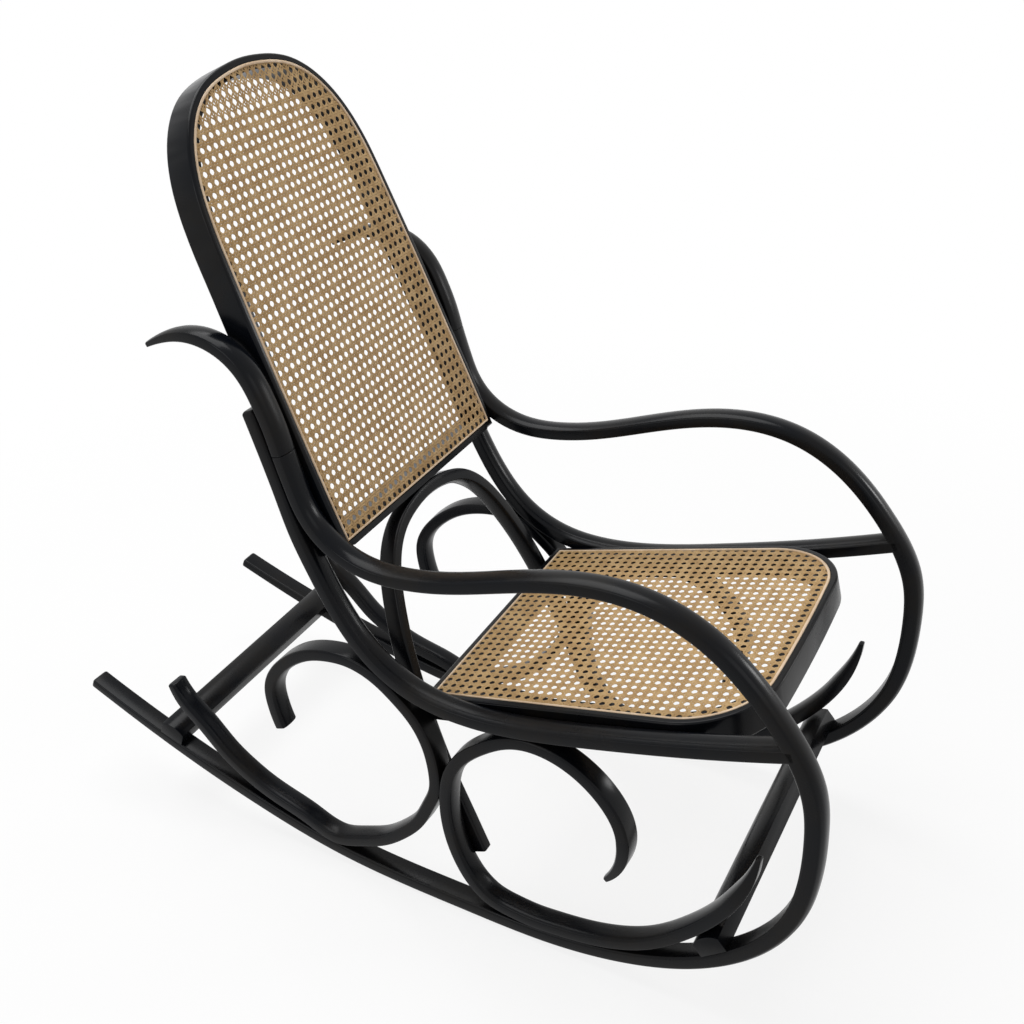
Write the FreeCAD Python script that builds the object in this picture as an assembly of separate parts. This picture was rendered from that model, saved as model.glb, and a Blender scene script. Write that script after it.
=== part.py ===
"""Bentwood rocking chair with a caned seat and back, in millimetres.

The chair is drawn in the frame of its seat: X across, Y towards the back, Z square to the cane.
At the end it is tilted to the angle at which it balances on its rockers, and stood on the floor.
Each side is a flat assembly of steam-bent strips, set at a small splay and mirrored for the other.
"""
import FreeCAD
import Part
import math
import os

Vector = FreeCAD.Vector

# Overall sizes: the side outlines below are drawn at the first value of each pair
drawn_depth = 1136.0
frame_depth = 1136.0
drawn_height = 863.0
frame_height = 863.0
inner_half_width = 198.0
splay_slope = 0.035

# Bent strips of the sides: flat thickness, crown and width across
side_width = 30.0
arm_thick = 16.5
rocker_thick = 19.5
tail_thick = 15.0
post_thick = 20.5
rail_thick = 17.5
scroll_thick = 17.0
strip_crown = 3.5
scroll_crown = 2.5
tip_thick = 2.0
tip_width = 6.0
post_corner = 8.0
tail_corner = 6.0
horn_taper = 120.0
scroll_taper = 85.0
side_gap = 0.3
bite = 0.15

# Seat frame, caned seat and the reed that locks the cane in its groove
seat_rear = -80.0
seat_front = -522.0
seat_bow = 7.0
seat_corner = 104.0
seat_height = 37.0
hoop_width = 25.0
edge_strip = 8.0
reed_width = 5.0
reed_proud = 1.0
groove_depth = 7.0
groove_clear = 0.15
cane_thick = 1.5
tenon_length = 12.0
tenon_height = 16.0
tenon_thick = 9.0
tenon_clear = 0.2
seat_edge_round = 3.0

# Back frame, leaning back from the square to the seat
back_lean = 9.05
back_foot_depth = -27.0
back_foot_height = 216.0
back_rail_height = 24.0
back_hoop_width = 18.0
back_depth = 40.0
back_edge_round = 3.5
back_tenon_length = 8.0
back_tenon_height = 12.0

# Brace under the back and the stretchers between the rockers
brace_thick = 17.0
brace_depth = 26.0
brace_crown = 2.5
brace_gap = 0.6
brace_leg = (335.0, 400.0, 463.0)
stretcher_thick = 19.5
stretcher_crown = 6.0

# How finely a bent strip is divided: even stretches into arcs, tapers into sections
probe_pitch = 5.0
longest_piece = 130.0
widest_turn = 0.5
taper_pitch = 24.0
flat_crown = 0.1
straight_bend = 1e-7


def drawn(y, z):
    """Return a drawn side-view point at the set depth and height."""
    return Vector(0, y * frame_depth / drawn_depth, z * frame_height / drawn_height)


def spline(points):
    """Return a smooth curve through the points."""
    curve = Part.BSplineCurve()
    curve.interpolate(points)
    return curve


def normal_at(curve, parameter):
    """Return the direction in which a strip's thickness lies, to the right of travel."""
    tangent = curve.tangent(parameter)[0]
    return Vector(0, tangent.z, -tangent.y)


def touch(curve, y, z, gap=-bite):
    """Return the place beside a strip's drawn edge nearest to a drawn point, at a gap from it.

    By default it bites into the edge by the little that is shaved off to seat one on the other.
    """
    parameter = curve.parameter(drawn(y, z))
    return curve.value(parameter) - normal_at(curve, parameter) * gap


def distance_along(curve, y, z):
    """Return the length of the curve from its start to the place nearest to a drawn point."""
    return curve.length(curve.FirstParameter, curve.parameter(drawn(y, z)))


class Steps:
    """A size along a strip that runs straight from each (distance, value) stop to the next."""

    def __init__(self, stops):
        self.stops = stops

    def __call__(self, distance):
        for (start, low), (end, high) in zip(self.stops, self.stops[1:]):
            if distance <= end:
                return low + (high - low) * max(0.0, (distance - start) / (end - start))
        return self.stops[-1][1]


def constant(size):
    """Return a size that stays the same all along a strip."""
    return Steps([(0.0, size)])


def place_on(curve, distance):
    """Return the point and the direction of travel at a distance along a curve."""
    parameter = curve.parameterAtDistance(distance, curve.FirstParameter)
    return curve.value(parameter), curve.tangent(parameter)[0]


def strip_section(place, sizes):
    """Return a strip's closed section: a flat edge, two flat cheeks and a crowned edge."""
    point, travel = place
    thick, crown, width = sizes
    normal = Vector(0, travel.z, -travel.y)
    half = Vector(width / 2, 0, 0)
    edge = normal * thick
    top = point + normal * (thick + crown)
    corners = [point - half, point + half, point + half + edge, point - half + edge]
    if crown > flat_crown:
        crowned = Part.Arc(corners[2], top, corners[3])
    else:
        crowned = Part.LineSegment(corners[2], corners[3])
    return Part.Wire([
        Part.LineSegment(corners[0], corners[1]).toShape(),
        Part.LineSegment(corners[1], corners[2]).toShape(),
        crowned.toShape(),
        Part.LineSegment(corners[3], corners[0]).toShape(),
    ])


def arc_nodes(curve, low, high):
    """Return the distances that split a stretch into pieces of moderate length and turn."""
    nodes = [low]
    used = 0.0
    travel = place_on(curve, low)[1]
    count = math.ceil((high - low) / probe_pitch)
    for index in range(1, count + 1):
        distance = low + (high - low) * index / count
        ahead = place_on(curve, distance)[1]
        used += (high - low) / count / longest_piece + travel.getAngle(ahead) / widest_turn
        travel = ahead
        if used >= 1.0 and high - distance > probe_pitch:
            nodes.append(distance)
            used = 0.0
    return nodes + [high]


def biarc(first, last):
    """Return the places that start the two arcs joining one place on a curve to another."""
    (start, leave), (end, arrive) = first, last
    chord = end - start
    spread = 2 * (1 - leave.dot(arrive))
    along = chord.dot(leave + arrive)
    if spread < 1e-9:
        reach = chord.dot(chord) / (2 * along)
    else:
        reach = (math.sqrt(along ** 2 + spread * chord.dot(chord)) - along) / spread
    middle = (start + end + (leave - arrive) * reach) * 0.5
    half_chord = middle - start
    left = Vector(0, -leave.z, leave.y)
    turn = 2 * math.atan2(half_chord.dot(left), half_chord.dot(leave))
    travel = leave * math.cos(turn) + left * math.sin(turn)
    return [first, (middle, travel)]


def arc_places(curve, low, high):
    """Return the places along a stretch where one arc of its bend gives way to the next."""
    nodes = [place_on(curve, node) for node in arc_nodes(curve, low, high)]
    places = []
    for first, last in zip(nodes, nodes[1:]):
        places += biarc(first, last)
    return places + [nodes[-1]]


def bent_faces(place, end, sizes):
    """Return the faces of a strip that bends along one arc from a place to an end point."""
    start, travel = place
    chord = end - start
    left = Vector(0, -travel.z, travel.y)
    section = strip_section(place, sizes)
    bend = 2 * chord.dot(left) / chord.dot(chord)
    if abs(bend) < straight_bend:
        return section.extrude(chord).Faces
    turn = 2 * math.atan2(chord.dot(left), chord.dot(travel))
    centre = start + left * (1 / bend)
    return section.revolve(centre, Vector(1, 0, 0), math.degrees(turn)).Faces


def inset_arcs(places, inset):
    """Return the edges of a chain of arcs moved to its right by an inset."""
    moved = []
    for point, travel in places:
        moved.append((point + Vector(0, travel.z, -travel.y) * inset, travel))
    edges = []
    for (start, travel), (end, _) in zip(moved, moved[1:]):
        chord = end - start
        left = Vector(0, -travel.z, travel.y)
        if abs(2 * chord.dot(left) / chord.dot(chord)) < straight_bend:
            edges.append(Part.LineSegment(start, end).toShape())
        else:
            half_turn = math.atan2(chord.dot(left), chord.dot(travel))
            bulge = chord.Length / 2 * math.tan(half_turn / 2)
            aside = Vector(0, chord.z, -chord.y)
            aside.normalize()
            edges.append(Part.Arc(start, (start + end) * 0.5 + aside * bulge, end).toShape())
    return edges


def strip(curve, thick, crown, width, start=0.0, end=None):
    """Make a bent strip along its drawn edge: arcs where it is even, a loft where it tapers."""
    end = curve.length() if end is None else end
    stops = {distance for size in (thick, crown, width) for distance, _ in size.stops}
    marks = [start] + sorted(stop for stop in stops if start < stop < end) + [end]
    sizes = [(thick(mark), crown(mark), width(mark)) for mark in marks]
    faces = []
    for low, high, near, far in zip(marks, marks[1:], sizes, sizes[1:]):
        if near == far:
            places = arc_places(curve, low, high)
            for place, following in zip(places, places[1:]):
                faces += bent_faces(place, following[0], near)
        else:
            count = math.ceil((high - low) / taper_pitch)
            cuts = [low + (high - low) * index / count for index in range(count + 1)]
            sections = [
                strip_section(place_on(curve, cut), (thick(cut), crown(cut), width(cut)))
                for cut in cuts]
            faces += Part.makeLoft(sections, False, False).Faces
    faces.append(Part.Face(strip_section(place_on(curve, start), sizes[0])))
    faces.append(Part.Face(strip_section(place_on(curve, end), sizes[-1])))
    shell = Part.makeShell(faces)
    shell.sewShape()
    solid = Part.Solid(shell)
    if solid.Volume < 0:
        solid.reverse()
    return solid.removeSplitter()


def box(low, high):
    """Return a box between two corners."""
    size = Vector(*high) - Vector(*low)
    return Part.makeBox(size.x, size.y, size.z, Vector(*low))


def vertical_edges(solid, wanted):
    """Return the edges parallel to Z whose centre passes the test."""
    found = []
    for edge in solid.Edges:
        run = edge.Vertexes[-1].Point - edge.Vertexes[0].Point
        if abs(run.z) > 0.99 * run.Length > 0 and wanted(edge.CenterOfMass):
            found.append(edge)
    return found


def round_corner(solid, corner, radius):
    """Round the edge of a strip's end that crosses the chair nearest to a corner."""
    across = []
    for edge in solid.Edges:
        run = edge.Vertexes[-1].Point - edge.Vertexes[0].Point
        if abs(run.x) > 0.99 * run.Length > 0:
            across.append(edge)
    nearest = min(across, key=lambda edge: (edge.CenterOfMass - corner).Length)
    return solid.makeFillet(radius, [nearest])


# The one bent piece seen from the side: horn, arm, loop and rocker, along its inner edge
main_edge = spline(
    [drawn(y, z) for y, z in [
        (165, 506), (140, 506), (110, 504), (75, 494), (45, 474), (28, 447), (20, 414),
        (16, 382), (15, 350), (13, 310), (8, 270), (-10, 230), (-62, 188), (-120, 173),
        (-180, 170), (-300, 178), (-400, 170), (-450, 150), (-490, 119), (-545, 35),
        (-567, -30), (-571, -64), (-565, -117), (-550, -175), (-528, -225), (-482, -279),
        (-430, -313), (-370, -335), (-300, -346), (-187, -342), (-66, -317), (131, -262),
        (297, -180), (431, -97), (540, -18)]])
main_length = main_edge.length()
seam = distance_along(main_edge, 15, 350)
loop_front = distance_along(main_edge, -545, 35)
loop_low = distance_along(main_edge, -571, -64)
tail_start = distance_along(main_edge, 297, -180)

main_thick = Steps([
    (0.0, tip_thick), (horn_taper, arm_thick), (loop_front, arm_thick),
    (loop_low, rocker_thick), (tail_start, rocker_thick), (main_length, tail_thick)])
main_width = Steps([(0.0, tip_width), (horn_taper, side_width), (main_length, side_width)])
main_crown = Steps([(0.0, 0.4), (horn_taper, strip_crown), (main_length, strip_crown)])

horn = strip(main_edge, main_thick, main_crown, main_width, 0.0, seam)
rocker_arm = strip(main_edge, main_thick, main_crown, main_width, seam, main_length)
tail_upper = main_edge.value(main_edge.LastParameter)
rocker_arm = round_corner(rocker_arm, tail_upper, tail_corner)

# The post behind the arm runs down and bends forward into the seat rail
post_set_back = post_thick - bite
rail_edge = spline(
    [touch(main_edge, y, z, post_set_back) for y, z in [(20, 412), (15, 350), (12, 300)]]
    + [drawn(y, z) for y, z in [
        (30, 245), (22, 195), (4, 122), (-30, 54), (-80, 9), (-150, -18), (-240, -29),
        (-330, -29), (-440, -25)]]
    + [touch(main_edge, -563, -17, -arm_thick / 2)])
rail_length = rail_edge.length()
post_foot = distance_along(rail_edge, 22, 195)
rail_start = distance_along(rail_edge, -150, -18)
rail_shape = strip(
    rail_edge,
    Steps([(0.0, post_thick), (post_foot, post_thick), (rail_start, rail_thick),
           (rail_length, rail_thick)]),
    Steps([(0.0, 0.0), (post_foot, 0.0), (rail_start, strip_crown),
           (rail_length, strip_crown)]),
    constant(side_width))
post_top = rail_edge.value(rail_edge.FirstParameter)
rail_shape = round_corner(rail_shape, post_top, post_corner)
post_rail = rail_shape.cut(rocker_arm).cut(horn)

# Front scroll: under the rail, against the rear scroll and along the rocker
scroll_rests = [(-165, -338), (-190, -342), (-215, -344), (-240, -346)]
front_edge = spline(
    [drawn(y, z) for y, z in [
        (-316, -226), (-340, -188), (-347, -150), (-331, -104), (-307, -64), (-266, -40)]]
    + [touch(rail_edge, -222, -28)]
    + [drawn(y, z) for y, z in [
        (-165, -43), (-117, -73), (-91, -106), (-77, -140), (-68, -180), (-66, -221),
        (-71, -258), (-84, -292), (-104, -315), (-133, -329)]]
    + [touch(main_edge, y, z) for y, z in scroll_rests]
    + [drawn(y, z) for y, z in [
        (-285, -345), (-333, -334), (-392, -303), (-450, -257), (-495, -196), (-507, -163)]])
front_length = front_edge.length()
scroll_size = [(0.0, tip_thick), (scroll_taper, scroll_thick),
               (front_length - scroll_taper, scroll_thick), (front_length, tip_thick)]
scroll_span = [(0.0, tip_width), (scroll_taper, side_width),
               (front_length - scroll_taper, side_width), (front_length, tip_width)]
scroll_bulge = [(0.0, 0.4), (scroll_taper, scroll_crown),
                (front_length - scroll_taper, scroll_crown), (front_length, 0.4)]
front_scroll = strip(front_edge, Steps(scroll_size), Steps(scroll_bulge), Steps(scroll_span))
front_scroll = front_scroll.cut(rocker_arm).cut(post_rail)

# Rear scroll: against the post's bend, the front scroll and the rocker
rear_rests = [(165, -246), (135, -260)]
rear_edge = spline(
    [drawn(y, z) for y, z in [
        (370, -10), (364, -44), (340, -84), (314, -130), (289, -160), (259, -187),
        (220, -212), (192, -229)]]
    + [touch(main_edge, y, z) for y, z in rear_rests]
    + [drawn(y, z) for y, z in [(95, -256), (50, -246), (8, -226), (-34, -195), (-60, -164)]]
    + [touch(front_edge, -77, -140)]
    + [drawn(y, z) for y, z in [(-89, -100), (-91, -61), (-82, -20), (-62, 15)]]
    + [touch(rail_edge, -42, 42)]
    + [drawn(y, z) for y, z in [
        (0, 68), (36, 75), (80, 72), (119, 57), (148, 37), (170, 8), (178, -30), (177, -64)]])
rear_length = rear_edge.length()
rear_scroll = strip(
    rear_edge,
    Steps([(0.0, tip_thick), (scroll_taper, scroll_thick), (rear_length, scroll_thick)]),
    Steps([(0.0, 0.4), (scroll_taper, scroll_crown), (rear_length, scroll_crown)]),
    Steps([(0.0, tip_width), (scroll_taper, side_width), (rear_length, side_width)]))
rear_scroll = rear_scroll.cut(rocker_arm).cut(post_rail).cut(front_scroll)


# Seat frame
depth_scale = frame_depth / drawn_depth


def half_width_at(y):
    """Return the half width between the sides' inner faces at a depth."""
    return inner_half_width - splay_slope * y


def seat_slab(inset, low, high):
    """Return the seat's outline, drawn in by an inset, as a slab between two heights."""
    rear = seat_rear * depth_scale - inset
    front = seat_front * depth_scale + inset
    rear_half = half_width_at(rear) - side_gap - inset
    front_half = half_width_at(front) - side_gap - inset
    corners = [Vector(rear_half, rear, low), Vector(front_half, front + seat_bow, low),
               Vector(-front_half, front + seat_bow, low), Vector(-rear_half, rear, low)]
    outline = Part.Wire([
        Part.LineSegment(corners[0], corners[1]).toShape(),
        Part.Arc(corners[1], Vector(0, front, low), corners[2]).toShape(),
        Part.LineSegment(corners[2], corners[3]).toShape(),
        Part.LineSegment(corners[3], corners[0]).toShape(),
    ])
    slab = Part.Face(outline).extrude(Vector(0, 0, high - low))
    middle = (rear + front) / 2
    return slab.makeFillet(seat_corner - inset, vertical_edges(slab, lambda c: c.y < middle))


def outline_edges(solid, level, reach):
    """Return the edges of a slab's outer outline that lie level at one of its two faces."""
    return [edge for edge in solid.Edges
            if abs(reach(edge.BoundBox)[0] - level) < 1e-4
            and abs(reach(edge.BoundBox)[1] - level) < 1e-4]


reed_top = reed_proud
land = -cane_thick
floor_of_groove = -groove_depth
under_seat = -seat_height
inner_of_reed = edge_strip + reed_width
rear_inner = seat_rear * depth_scale - hoop_width
wide = 2 * half_width_at(seat_front * depth_scale)

seat_block = seat_slab(0.0, under_seat, 0.0)
seat_rims = []
for level in (under_seat, 0.0):
    seat_rims += outline_edges(seat_block, level, lambda bounds: (bounds.ZMin, bounds.ZMax))
seat_block = seat_block.makeFillet(seat_edge_round, seat_rims)
seat_ring = seat_block.cut(seat_slab(hoop_width, under_seat - 1, 1.0))
seat_ring = seat_ring.cut(seat_slab(inner_of_reed - groove_clear, land, 1.0))
seat_ring = seat_ring.cut(
    seat_slab(edge_strip, floor_of_groove, 1.0).cut(
        seat_slab(inner_of_reed, floor_of_groove - 1, 1.0)))
leg_inner = half_width_at(rear_inner) - side_gap - hoop_width
rail_zone = box((-leg_inner, rear_inner, under_seat - 2), (leg_inner, 1.0 + abs(rear_inner), 2.0))
seat_rear_rail = seat_ring.common(rail_zone)
seat_hoop = seat_ring.cut(rail_zone)
rear_middle = (seat_rear * depth_scale + rear_inner) / 2
tenon_low = under_seat + (seat_height - groove_depth - tenon_height) / 2


def seat_tenon(side, spare):
    """Return one tenon of the rear rail, or its mortise when given spare room."""
    inner = side * (leg_inner - spare)
    outer = side * (leg_inner + tenon_length + spare)
    return box((min(inner, outer), rear_middle - tenon_thick / 2 - spare, tenon_low - spare),
               (max(inner, outer), rear_middle + tenon_thick / 2 + spare,
                tenon_low + tenon_height + spare))


for side in (-1, 1):
    seat_rear_rail = seat_rear_rail.fuse(seat_tenon(side, 0.0))
    seat_hoop = seat_hoop.cut(seat_tenon(side, tenon_clear))
seat_cane = seat_slab(inner_of_reed, land, 0.0)
seat_reed = seat_slab(edge_strip + groove_clear, floor_of_groove + groove_clear, reed_top).cut(
    seat_slab(inner_of_reed - groove_clear, floor_of_groove - 1, reed_top + 1))

# Back frame, drawn flat with Y across and Z up the back, then leaned into place
height_scale = frame_height / drawn_height
drawn_foot_half = 197.5
back_half_outline = [
    (0, 573), (45, 569), (92, 556), (128, 531), (153, 499), (170, 460), (176, 436),
    (180, 410), (184, 354), (188, 293), (191, 234), (193, 173), (195, 110), (197, 45),
    (drawn_foot_half, -9)]
back_slope = math.sin(math.radians(back_lean))
back_rear_depth = back_foot_depth + back_depth + back_rail_height * back_slope
foot_half = half_width_at(back_rear_depth) - side_gap


def back_curve():
    """Return the outer outline of the back hoop, from one foot over the top to the other."""
    width_scale = foot_half / drawn_foot_half
    half = [Vector(0, y * width_scale, z * height_scale) for y, z in back_half_outline]
    other = [Vector(0, -point.y, point.z) for point in half[:0:-1]]
    return spline(other + half)


back_edge = back_curve()
back_arcs = arc_places(back_edge, 0.0, back_edge.length())


def back_slab(inset, sill, near, far):
    """Return the back's outline, drawn in by an inset, as a slab from a sill line upward."""
    edges = inset_arcs(back_arcs, inset)
    ends = [edges[0].Vertexes[0].Point, edges[-1].Vertexes[-1].Point]
    slab = Part.Face(Part.Wire(edges + [Part.LineSegment(ends[1], ends[0]).toShape()]))
    slab = slab.extrude(Vector(far - near, 0, 0))
    slab.translate(Vector(near, 0, 0))
    return slab.common(box((near - 1, -wide, sill), (far + 1, wide, 2 * back_slab_top)))


back_slab_top = 600.0 * height_scale
shift = back_half_outline[-1][1] * height_scale
back_block = back_slab(0.0, shift, 0.0, back_depth)
back_rims = []
for level in (0.0, back_depth):
    back_rims += outline_edges(back_block, level, lambda bounds: (bounds.XMin, bounds.XMax))
back_block = back_block.makeFillet(back_edge_round, back_rims)
back_ring = back_block.cut(back_slab(back_hoop_width, shift - 1, -1.0, back_depth + 1))
rail_top = shift + back_rail_height
back_rail = back_slab(back_hoop_width, shift, 0.0, back_depth).common(
    box((-1, -wide, shift), (back_depth + 1, wide, rail_top)))
reed_sill = shift + edge_strip
cane_sill = reed_sill + reed_width
land_cut = back_slab(inner_of_reed - groove_clear, cane_sill - groove_clear, -1.0, cane_thick)
groove_cut = back_slab(edge_strip, reed_sill, -1.0, groove_depth).cut(
    back_slab(inner_of_reed, cane_sill, -2.0, groove_depth + 1))
back_hoop = back_ring.cut(land_cut).cut(groove_cut)
back_bottom_rail = back_rail.cut(land_cut).cut(groove_cut)
back_leg_inner = foot_half - back_hoop_width
back_tenon_depth = (groove_depth + back_depth) / 2
back_tenon_level = shift + (back_rail_height - back_tenon_height) / 2


def back_tenon(side, spare):
    """Return one tenon of the bottom rail, or its mortise when given spare room."""
    inner = side * (back_leg_inner - tenon_thick)
    outer = side * (back_leg_inner + back_tenon_length + spare)
    return box((back_tenon_depth - tenon_thick / 2 - spare, min(inner, outer),
                back_tenon_level - spare),
               (back_tenon_depth + tenon_thick / 2 + spare, max(inner, outer),
                back_tenon_level + back_tenon_height + spare))


for side in (-1, 1):
    back_bottom_rail = back_bottom_rail.fuse(back_tenon(side, 0.0))
    back_hoop = back_hoop.cut(back_tenon(side, tenon_clear))
back_cane = back_slab(inner_of_reed, cane_sill, 0.0, cane_thick)
back_reed = back_slab(
    edge_strip + groove_clear, reed_sill + groove_clear, -reed_proud, groove_depth - groove_clear
).cut(back_slab(inner_of_reed - groove_clear, cane_sill - groove_clear, -2.0, groove_depth + 1))

# Brace: an arch hung under the back, its legs down the inside of the sides
brace_half = [
    (0, 0), (45, -5), (80, -16), (108, -34), (126, -53), (142, -78), (157, -111),
    (171, -151), (183, -199), (193, -261)]
drawn_leg_half = 199.33
legs = []
for drop in brace_leg:
    height = shift - drop * height_scale
    rear_depth = back_foot_depth + brace_depth + height * back_slope
    legs.append(Vector(0, half_width_at(rear_depth) - brace_gap, height))
arch_scale = legs[0].y / drawn_leg_half
brace_points = [Vector(0, y * arch_scale, shift - brace_gap + z * height_scale)
                for y, z in brace_half] + legs
brace_other = [Vector(0, -point.y, point.z) for point in brace_points[:0:-1]]
brace_edge = spline(brace_other + brace_points)
back_brace = strip(
    brace_edge, constant(brace_thick), constant(brace_crown), constant(brace_depth))
back_brace.translate(Vector(brace_depth / 2, 0, 0))


# Stretchers: flat bars across the rockers
def stretcher(first, second):
    """Return a bar resting on the rockers' inner edge between two drawn places."""
    low = [touch(main_edge, *first, gap=0.0), touch(main_edge, *second, gap=0.0)]
    if low[0].y > low[1].y:
        low.reverse()
    run = low[1] - low[0]
    run.normalize()
    up = Vector(0, -run.z, run.y)
    high = [point + up * stretcher_thick for point in low]
    top = (high[0] + high[1]) * 0.5 + up * stretcher_crown
    end = half_width_at(low[0].y) + side_width - 1.0
    profile = Part.Wire([
        Part.LineSegment(low[0], low[1]).toShape(),
        Part.LineSegment(low[1], high[1]).toShape(),
        Part.Arc(high[1], top, high[0]).toShape(),
        Part.LineSegment(high[0], low[0]).toShape(),
    ])
    bar = Part.Face(profile).extrude(Vector(2 * end, 0, 0))
    bar.translate(Vector(-end, 0, 0))
    return bar


front_stretcher = stretcher((-409, -322), (-444, -305))
rear_stretcher = stretcher((394, -121), (427, -100))


def lean_back(shape):
    """Stand a piece of the back, drawn flat, in its leaning plane."""
    shape = shape.copy()
    shape.rotate(Vector(0, 0, 0), Vector(0, 0, 1), 90)
    shape.rotate(Vector(0, 0, 0), Vector(1, 0, 0), -back_lean)
    shape.translate(Vector(0, back_foot_depth, back_foot_height * height_scale))
    return shape


def side_pair(name, shape):
    """Return the right and left pieces made from one flat-drawn side strip."""
    right = shape.copy()
    right.rotate(Vector(0, 0, 0), Vector(0, 0, 1), -math.degrees(math.atan(splay_slope)))
    right.translate(Vector(-inner_half_width - side_width / 2, 0, 0))
    left = right.mirror(Vector(0, 0, 0), Vector(1, 0, 0))
    return {f"{name}_right": right, f"{name}_left": left}


pieces = {}
pieces.update(side_pair("rocker_arm", rocker_arm))
pieces.update(side_pair("horn", horn))
pieces.update(side_pair("post_rail", post_rail))
pieces.update(side_pair("front_scroll", front_scroll))
pieces.update(side_pair("rear_scroll", rear_scroll))
pieces["seat_hoop"] = seat_hoop
pieces["seat_rear_rail"] = seat_rear_rail
pieces["seat_cane"] = seat_cane
pieces["seat_reed"] = seat_reed
pieces["back_hoop"] = lean_back(back_hoop)
pieces["back_bottom_rail"] = lean_back(back_bottom_rail)
pieces["back_cane"] = lean_back(back_cane)
pieces["back_reed"] = lean_back(back_reed)
pieces["back_brace"] = lean_back(back_brace)
for name, bar in (("front_stretcher", front_stretcher), ("rear_stretcher", rear_stretcher)):
    for ending in ("right", "left"):
        bar = bar.cut(pieces[f"rocker_arm_{ending}"]).cut(pieces[f"front_scroll_{ending}"])
    pieces[name] = bar


# Balance: the tilt at which the centre of mass stands over the rockers' contact
def centre_of_mass():
    """Return the centre of mass of all the pieces, taken as one material."""
    total = sum(piece.Volume for piece in pieces.values())
    weighted = Vector(0, 0, 0)
    for piece in pieces.values():
        weighted += piece.CenterOfGravity * piece.Volume
    return weighted * (1 / total)


def tilted(point, angle):
    """Return depth and height of a seat-frame point after tilting the chair back."""
    return (point.y * math.cos(angle) + point.z * math.sin(angle),
            point.z * math.cos(angle) - point.y * math.sin(angle))


def balance_tilt(centre):
    """Return the tilt, in radians, at which the chair rests by itself."""
    sole = []
    for index in range(400):
        distance = loop_low + (main_length - loop_low) * index / 399
        parameter = main_edge.parameterAtDistance(distance, main_edge.FirstParameter)
        reach = main_thick(distance) + strip_crown
        sole.append(main_edge.value(parameter) + normal_at(main_edge, parameter) * reach)
    low, high = math.radians(5), math.radians(35)
    for _ in range(40):
        middle = (low + high) / 2
        contact = min((tilted(point, middle) for point in sole), key=lambda place: place[1])
        if contact[0] < tilted(centre, middle)[0]:
            low, high = middle, high
        else:
            low, high = low, middle
    return (low + high) / 2


centre = centre_of_mass()
tilt = balance_tilt(centre)

for piece in pieces.values():
    piece.rotate(Vector(0, 0, 0), Vector(1, 0, 0), -math.degrees(tilt))
whole = Part.Compound(list(pieces.values())).BoundBox
stand = Vector(0, -(whole.YMin + whole.YMax) / 2, -whole.ZMin)
print("rest tilt", round(math.degrees(tilt), 4), "degrees, stood at", stand)
for piece in pieces.values():
    piece.translate(stand)

os.makedirs("parts", exist_ok=True)
for name, piece in pieces.items():
    print(name, len(piece.Solids), piece.isValid(), round(piece.Volume / 1000), "cm3")
    piece.exportStep(f"parts/{name}.step")
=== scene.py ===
"""Bentwood rocking chair with a caned seat and back: its looks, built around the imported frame.

Drawn sizes are in millimetres, in the frame of the seat or of the back, and a placement matrix
takes each drawn piece to the chair as it stands on the floor, in metres.
"""
import logging
import math
from dataclasses import dataclass, field
from enum import Enum
from functools import partial
from typing import Callable

import bpy
import numpy as np
from mathutils import Matrix, Vector
from mathutils.geometry import convex_hull_2d


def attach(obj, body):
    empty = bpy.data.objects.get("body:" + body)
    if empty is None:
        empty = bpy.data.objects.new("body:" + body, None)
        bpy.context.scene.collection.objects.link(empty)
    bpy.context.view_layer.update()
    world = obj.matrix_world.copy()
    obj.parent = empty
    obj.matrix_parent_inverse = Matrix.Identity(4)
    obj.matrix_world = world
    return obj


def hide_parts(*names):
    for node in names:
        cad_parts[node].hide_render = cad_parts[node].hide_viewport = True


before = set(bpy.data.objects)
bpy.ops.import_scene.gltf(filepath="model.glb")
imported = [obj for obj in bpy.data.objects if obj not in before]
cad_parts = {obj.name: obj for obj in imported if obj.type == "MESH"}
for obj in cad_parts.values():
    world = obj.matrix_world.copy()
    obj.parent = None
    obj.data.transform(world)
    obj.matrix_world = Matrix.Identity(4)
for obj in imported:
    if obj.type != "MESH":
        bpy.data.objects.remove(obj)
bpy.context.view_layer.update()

log = logging.getLogger("rocking_chair")

BODY = "root"
MILLIMETRE = 0.001
MERGE_METRES = 0.000002
NODE_MERGE_METRES = 0.00001
Points = list[tuple[float, float]]
Place = tuple[float, float, float]


class Side(Enum):
    """The sitter's two sides."""

    RIGHT = -1
    LEFT = 1


class Slot(Enum):
    """The material slots of the record."""

    WOOD = "black_wood"
    CANE = "cane"
    REED = "reed"


# Shared helpers for objects and meshes


def deselect() -> None:
    """Leave edit mode and select nothing."""
    if bpy.context.mode != "OBJECT":
        bpy.ops.object.mode_set(mode="OBJECT")
    bpy.ops.object.select_all(action="DESELECT")


def choose(piece: bpy.types.Object) -> None:
    """Make one object the only one selected, and active."""
    deselect()
    piece.select_set(True)
    bpy.context.view_layer.objects.active = piece


def as_mesh(path: bpy.types.Object, name: str) -> bpy.types.Object:
    """Turn a swept curve into a mesh object, and remove the profile that it was swept with.

    Args:
        path: The curve object.
        name: The name of the finished piece.

    Returns:
        The mesh object.
    """
    profile = path.data.bevel_object
    choose(path)
    bpy.ops.object.convert(target="MESH")
    piece = bpy.context.active_object
    piece.name = name
    piece.data.name = name
    bpy.data.objects.remove(profile)
    return piece


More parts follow.
